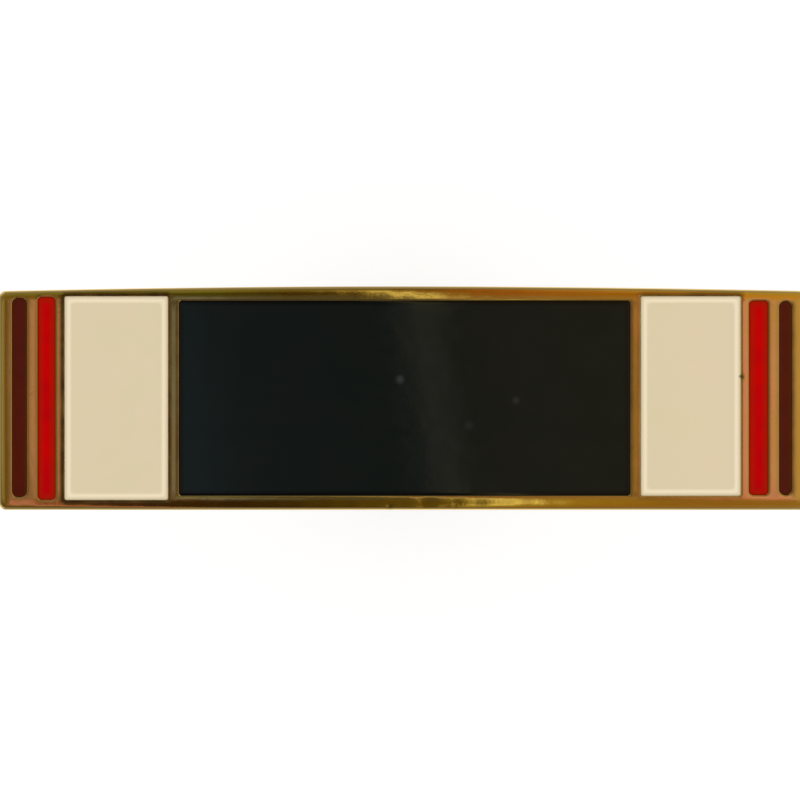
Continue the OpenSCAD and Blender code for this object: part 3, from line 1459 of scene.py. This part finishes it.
@dataclass
class Studio:
    """The pale floor, the soft light and the camera.

    The light that matt surfaces gather is even and white. What gloss and metal reflect is a softer
    room: a dim card overhead, with a winding strip of light across it, and walls that swing between
    light and shade. Each row of a light is a distance from the strip and the colour there.

    Attributes:
        lens: Focal length.
        sensor: Width of the sensor.
        frame_width: Width of the picture at the pin's face.
        centre: X and Y that the camera looks down on.
        clip_start: Where the camera begins to see, in metres.
        floor_half: Half of the floor's side.
        floor_drop: How far the floor lies below the pin.
        card_height: Height of the card overhead.
        card_half: Half of the card's side.
        strip_path: The places along Y, and where along X the strip crosses the card there.
        strip_half: Half of the strip's width.
        strip_core: Share of that width that is fully lit.
        strip_light: Colour of the strip straight overhead.
        strip_ends: Colour of the strip further out along Y, either way.
        strip_change: How far out it changes to that colour.
        strip_taper: How many times narrower it is there.
        strip_narrows: How far out it narrows.
        strip_fades: How far out it fades away.
        middle_light: Colours of the card overhead.
        near_light: Colours of its side away from Y.
        near_span: How far out that way the card changes to them.
        far_light: Colours of its side towards Y.
        far_span: How far out that way the card changes to them.
        edge_light: Colours of that side's far edge, which the outermost line of the rim mirrors.
        edge_span: How far out the card changes to them.
        wall_light: Brightness of the reflected walls at the horizon.
        wall_side: How much brighter they are towards Y, and darker the other way.
        wall_corner: How much brighter they are towards the room's corners.
        wall_corners: How many corners the room has.
        wall_top: What share of that brightness is left high up.
        wall_rise: Where that change begins and ends, as the sine of the angle above the horizon.
        floor_matt: Reflectance of the floor.
        floor_glow: Light that the floor gives off by itself, to keep it white.
        pool_foot: Brightness of the floor right under the pin, as gloss sees it.
        pool_light: Brightness of the floor beside the pin, as gloss sees it.
        pool_rise: How far out it changes from the one to the other.
        pool_edge: Brightness of the floor further off, as gloss sees it.
        pool_fall: How far out it changes to that.
        pool_swing: How far that brightness swings round the pin.
        pool_swings: How far out the swing sets in.
        pool_lobes: How often it swings in one turn.
        pool_turn: The angle that the swing is turned by, in radians.
    """

    lens: float = 100.0
    sensor: float = 36.0
    frame_width: float = 17.24
    centre: Point = (-0.071, -0.040)
    clip_start: float = 0.001
    floor_half: float = 450.0
    floor_drop: float = 0.01
    card_height: float = 157.0
    card_half: float = 300.0
    strip_path: tuple[Point, ...] = (
        (-60, 9.6), (-24, 10.6), (-17, 10.4), (-11, 8), (-8.7, 4.2), (0, 3.1), (8.6, 1.4), (9.3, 2.7),
        (10.5, 3.5), (13, 2.9), (17.5, 1.1), (20, 0.3), (30, 0), (60, -1.6), (120, -2.6),
    )
    strip_half: float = 2.6
    strip_core: float = 0.2
    strip_light: Colour = (0.46, 0.38, 0.27)
    strip_ends: Colour = (1.27, 1.20, 0.54)
    strip_change: Span = (8.7, 9.3)
    strip_taper: float = 1.5
    strip_narrows: Span = (8.7, 11.5)
    strip_fades: Span = (40.0, 180.0)
    middle_light: Stops = (
        (-180, 0.29, 0.265, 0.13), (-117, 0.255, 0.225, 0.095), (-73, 0.21, 0.17, 0.06),
        (-54, 0.132, 0.088, 0.021), (-50, 0.132, 0.088, 0.021), (-45, 0.183, 0.116, 0.056),
        (-43.2, 0.195, 0.122, 0.065), (-42, 0.34, 0.22, 0.23), (-40.8, 0.206, 0.13, 0.075),
        (-38.5, 0.206, 0.13, 0.075), (-36, 0.61, 0.345, 0.325), (-33.4, 0.4, 0.205, 0.115),
        (-23.5, 0.19, 0.238, 0.28), (-16.7, 0.085, 0.085, 0.07), (-3.8, 0.062, 0.06, 0.034),
        (0, 0.16, 0.11, 0.034), (3.8, 0.215, 0.13, 0.046), (9.5, 0.28, 0.185, 0.075),
        (17.5, 0.27, 0.183, 0.05), (20.5, 0.36, 0.225, 0.08), (22.5, 0.68, 0.27, 0.14),
        (24.8, 0.68, 0.265, 0.24), (26.5, 0.6, 0.255, 0.53), (28.5, 0.62, 0.29, 0.4),
        (29.8, 0.6, 0.38, 0.21), (31.9, 0.45, 0.335, 0.14), (60, 0.5, 0.365, 0.154),
    )
    near_light: Stops = (
        (-60, 0.12, 0.08, 0.02), (-47, 0.16, 0.105, 0.02), (-45.5, 0.65, 0.29, 0.38),
        (-44.3, 0.6, 0.27, 0.32), (-43, 0.32, 0.13, 0.05), (-41.6, 0.29, 0.1, 0.015),
        (-40.4, 0.085, 0.047, 0.003), (-38, 0.018, 0.007, 0), (-33.5, 0.018, 0.007, 0),
        (-31, 0.045, 0.023, 0), (-26, 0.022, 0.009, 0), (-19.6, 0.045, 0.028, 0.001),
        (-13.5, 0.071, 0.048, 0.003), (-10.8, 0.1, 0.072, 0.006), (-8, 0.075, 0.049, 0.002),
        (-4.4, 0.08, 0.052, 0.002), (-2.2, 0.29, 0.24, 0.05), (5.3, 0.293, 0.188, 0.015),
        (15, 0.266, 0.145, 0.022), (60, 0.35, 0.23, 0.08),
    )
    near_span: Span = (9.8, 16.5)
    far_light: Stops = (
        (-60, 0.16, 0.12, 0.04), (-36.5, 0.15, 0.12, 0.012), (-34.5, 0.19, 0.12, 0.008),
        (-32, 0.225, 0.105, 0.005), (-29.5, 0.11, 0.085, 0.007), (-26, 0.062, 0.053, 0.002),
        (-16, 0.056, 0.056, 0.003), (-9.6, 0.042, 0.023, 0), (-4.5, 0.048, 0.03, 0.001),
        (2.9, 0.185, 0.11, 0.018), (8.2, 0.275, 0.096, 0.013), (13.6, 0.3, 0.125, 0.012),
        (18, 0.31, 0.15, 0.012), (24.5, 0.3, 0.135, 0.008), (31.4, 0.52, 0.28, 0.03), (60, 0.4, 0.28, 0.1),
    )
    far_span: Span = (11.0, 21.0)
    edge_light: Stops = (
        (-60, 0.2, 0.19, 0.06), (-31, 0.17, 0.17, 0.05), (-18, 0.165, 0.17, 0.035),
        (-10, 0.125, 0.09, 0.028), (-2, 0.2, 0.16, 0.04), (2.3, 0.13, 0.075, 0.01), (6, 0.165, 0.08, 0.004),
        (13, 0.29, 0.11, 0.015), (21, 0.36, 0.17, 0.034), (34, 0.42, 0.25, 0.05), (60, 0.42, 0.33, 0.07),
    )
    edge_span: Span = (24.0, 110.0)
    wall_light: float = 0.28
    wall_side: float = 0.05
    wall_corner: float = 0.55
    wall_corners: float = 4.0
    wall_top: float = 0.35
    wall_rise: Span = (0.0, 0.6)
    floor_matt: float = 0.40
    floor_glow: float = 0.68
    pool_foot: float = 0.35
    pool_light: float = 0.85
    pool_rise: Span = (2.0, 12.0)
    pool_edge: float = 0.28
    pool_fall: Span = (14.0, 48.0)
    pool_swing: float = 0.3
    pool_swings: Span = (3.0, 9.0)
    pool_lobes: float = 5.0
    pool_turn: float = 0.9

    def square(self, name: str, half: float, z: float, light: str) -> tuple[Piece, Bench]:
        """Makes a level square with a material of its own.

        Args:
            name: Its name.
            half: Half of its side.
            z: Its height.
            light: The name of its material.

        Returns:
            The object and the bench of its material's empty tree.
        """
        mesh = bpy.data.meshes.new(name)
        corners = [(x * half * MM, y * half * MM, z * MM) for x, y in ((-1, -1), (1, -1), (1, 1), (-1, 1))]
        mesh.from_pydata(corners, [], [(0, 1, 2, 3)])
        piece = shown(name, mesh)
        material, bench = new_material(light)
        mesh.materials.append(material)
        return piece, bench

    def mirrored_floor(self, bench: Bench) -> Wire:
        """Gives the floor as gloss and metal see it: shaded under the pin, and dimmer far off.

        Args:
            bench: The floor material's bench.

        Returns:
            The glow.
        """
        place = bench.place()
        away = bench.vector("LENGTH", place, output="Value")
        rise = bench.ramp(away, *self.pool_rise, self.pool_foot, self.pool_light)
        fall = bench.ramp(away, *self.pool_fall, 0.0, self.pool_light - self.pool_edge)
        x, y, _ = bench.axes(place)
        wave = bench.math("COSINE", bench.math("ARCTAN2", y, x) * self.pool_lobes + self.pool_turn)
        swing = wave * bench.ramp(away, *self.pool_swings, 0.0, self.pool_swing)
        return bench.emission(opaque(WARM), (rise - fall) * (swing + 1.0))

    def floor(self) -> None:
        """Lays the pale floor, which is clear from below."""
        _, bench = self.square("floor", self.floor_half, -self.floor_drop, "pale floor")
        matt = bench.wire("ShaderNodeBsdfDiffuse", {"Color": opaque((self.floor_matt,) * 3)})
        glow = bench.emission(opaque(WHITE), self.floor_glow)
        lit = bench.wire("ShaderNodeAddShader", {0: matt, 1: glow})
        above = bench.either(bench.glossy(), lit, self.mirrored_floor(bench))
        behind = bench.wire("ShaderNodeNewGeometry", output="Backfacing")
        clear = bench.wire("ShaderNodeBsdfTransparent")
        bench.put("ShaderNodeOutputMaterial", {"Surface": bench.either(behind, above, clear)})

    def across_colour(self, bench: Bench, across: Wire, light: Stops) -> Wire:
        """Gives the card's colour from the distance across it.

        Args:
            bench: The card material's bench.
            across: The distance from the strip.
            light: The colours, each after its distance from the strip.

        Returns:
            The colour.
        """
        first, last = light[0][0], light[-1][0]
        share = bench.wire("ShaderNodeMapRange", {"Value": across, "From Min": first, "From Max": last})
        ramp = bench.put("ShaderNodeValToRGB", {"Fac": share})
        stops = ramp.color_ramp.elements
        for _ in range(len(light) - len(stops)):
            stops.new(1.0)
        for element, (distance, *colour) in zip(stops, light):
            element.position = (distance - first) / (last - first)
            element.color = (*colour, 1.0)
        return Wire(bench, ramp.outputs["Color"])

    def strip_middle(self, bench: Bench, y: Wire) -> Wire:
        """Gives where the middle of the strip crosses the card.

        Args:
            bench: The card material's bench.
            y: The place along Y.

        Returns:
            The place along X.
        """
        first, last = self.strip_path[0][0], self.strip_path[-1][0]
        low = min(x for _, x in self.strip_path)
        span = max(x for _, x in self.strip_path) - low
        share = bench.wire("ShaderNodeMapRange", {"Value": y, "From Min": first, "From Max": last})
        curve = bench.put("ShaderNodeFloatCurve", {"Value": share})
        points = curve.mapping.curves[0].points
        for _ in range(len(self.strip_path) - len(points)):
            points.new(1.0, 0.0)
        for point, (place, x) in zip(points, self.strip_path):
            point.location = ((place - first) / (last - first), (x - low) / span)
            point.handle_type = "VECTOR"
        curve.mapping.update()
        return Wire(bench, curve.outputs[0]) * span + low

    def card(self) -> None:
        """Hangs the dim card overhead, which only gloss and metal see."""
        piece, bench = self.square("card", self.card_half, self.card_height, "card light")
        x, y, _ = bench.axes(bench.place())
        out = bench.math("ABSOLUTE", y)
        across = x - self.strip_middle(bench, y)
        lights = (self.middle_light, self.near_light, self.far_light, self.edge_light)
        middle, near, far, edge = (self.across_colour(bench, across, light) for light in lights)
        beyond = bench.mix(bench.ramp(y, *self.edge_span), far, edge)
        sides = bench.mix(bench.math("GREATER_THAN", y, 0.0), near, beyond)
        near_reach = bench.ramp(y * -1.0, *self.near_span)
        reach = bench.math("MAXIMUM", near_reach, bench.ramp(y, *self.far_span))
        change = bench.ramp(out, *self.strip_change)
        strip_colour = bench.mix(change, opaque(self.strip_light), opaque(self.strip_ends))
        aside = bench.math("ABSOLUTE", across) * bench.ramp(out, *self.strip_narrows, 1.0, self.strip_taper)
        strip = bench.ramp(aside, self.strip_core * self.strip_half, self.strip_half, 1.0, 0.0)
        kept = strip * bench.ramp(out, *self.strip_fades, 1.0, 0.0)
        colour = bench.mix(kept, bench.mix(reach, middle, sides), strip_colour)
        bench.put("ShaderNodeOutputMaterial", {"Surface": bench.emission(colour, 1.0)})
        piece.visible_camera = False
        piece.visible_diffuse = False
        piece.visible_shadow = False

    def sky_light(self) -> None:
        """Lights matt surfaces evenly, and gives gloss and metal soft walls to reflect."""
        world = bpy.data.worlds.new("soft light")
        world.use_nodes = True
        world.node_tree.nodes.clear()
        bench = Bench(world.node_tree)
        x, y, z = bench.axes(bench.wire("ShaderNodeTexCoord", output="Generated"))
        lobes = bench.math("COSINE", bench.math("ARCTAN2", y, x) * self.wall_corners)
        level = (1.0 - lobes) * (self.wall_corner / 2) + y * self.wall_side + self.wall_light
        strength = level * bench.ramp(z, *self.wall_rise, 1.0, self.wall_top)
        even = bench.wire("ShaderNodeBackground", {"Color": opaque(WHITE), "Strength": 1.0})
        walls = bench.wire("ShaderNodeBackground", {"Color": opaque(WARM), "Strength": strength})
        bench.put("ShaderNodeOutputWorld", {"Surface": bench.either(bench.glossy(), even, walls)})
        bpy.context.scene.world = world
        bpy.context.scene.view_settings.view_transform = "Standard"

    def camera(self) -> None:
        """Sets the camera straight above the face, as far off as the picture's width asks."""
        data = bpy.data.cameras.new("camera")
        data.lens = self.lens
        data.sensor_width = self.sensor
        data.clip_start = self.clip_start
        camera = bpy.data.objects.new("camera", data)
        distance = self.frame_width * self.lens / self.sensor * MM
        centre_x, centre_y = self.centre
        camera.location = (centre_x * MM, centre_y * MM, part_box("plate")[1].z + distance)
        bpy.context.scene.collection.objects.link(camera)
        bpy.context.scene.camera = camera

    def build(self) -> None:
        """Sets up the whole studio."""
        self.camera()
        self.floor()
        self.card()
        self.sky_light()


# Each stripe's last value gives the painted shade on the metal beside it, left, right, upper and lower
STRIPES = (
    EnamelStripe("enamel_maroon_left", Stripe.MAROON, 0.11, SideShade(0.20, 0.30, 0.15, 0.05)),
    EnamelStripe("enamel_red_left", Stripe.RED, 0.07, SideShade(0.10, 0.15, 0.10, 0.12)),
    EnamelStripe("enamel_ivory_left", Stripe.IVORY, 0.04, SideShade(1.0, 0.85, 1.0, 1.0)),
    EnamelStripe("enamel_black", Stripe.BLACK, 0.04, SideShade(0.75, 0.60, 0.05, 0.05)),
    EnamelStripe("enamel_ivory_right", Stripe.IVORY, 0.04, SideShade(0.50, 0.05, 0.80, 0.40)),
    EnamelStripe("enamel_red_right", Stripe.RED, 0.07, SideShade(0.0, 0.20, 0.0, 0.0)),
    EnamelStripe("enamel_maroon_right", Stripe.MAROON, 0.11, SideShade(0.25, 0.60, 0.0, 0.0)),
)
# How far the metal stays clear of an enamel's node
ENAMEL_GAP = 0.01

FACE_NICKS = (
    Nick(-0.30, -2.33, 0.09, 0.0030, 0.5),
    Nick(0.46, -2.22, 0.22, 0.0026),
    Nick(1.13, -2.31, 0.09, 0.0010, 0.45),
    Nick(7.285, 0.469, 0.05, 0.012, 1.0),
)


def main() -> None:
    """Sets up the studio and builds every piece of the pin."""
    logging.basicConfig(level=logging.INFO, format="%(name)s: %(message)s")
    Studio().build()
    shop = Workshop()
    cells = [Outline.of_node(stripe.node, stripe.corner, ENAMEL_GAP) for stripe in STRIPES]
    Plate(cells, [stripe.darkening for stripe in STRIPES], FACE_NICKS).build(shop)
    pour = pour_tree()
    materials = {kind: kind.value.material(shop) for kind in Stripe}
    for stripe in STRIPES:
        stripe.build(pour, materials[stripe.stripe])
    Clutch().build(lathe_tree(), shop)


if __name__ == "__main__":
    main()
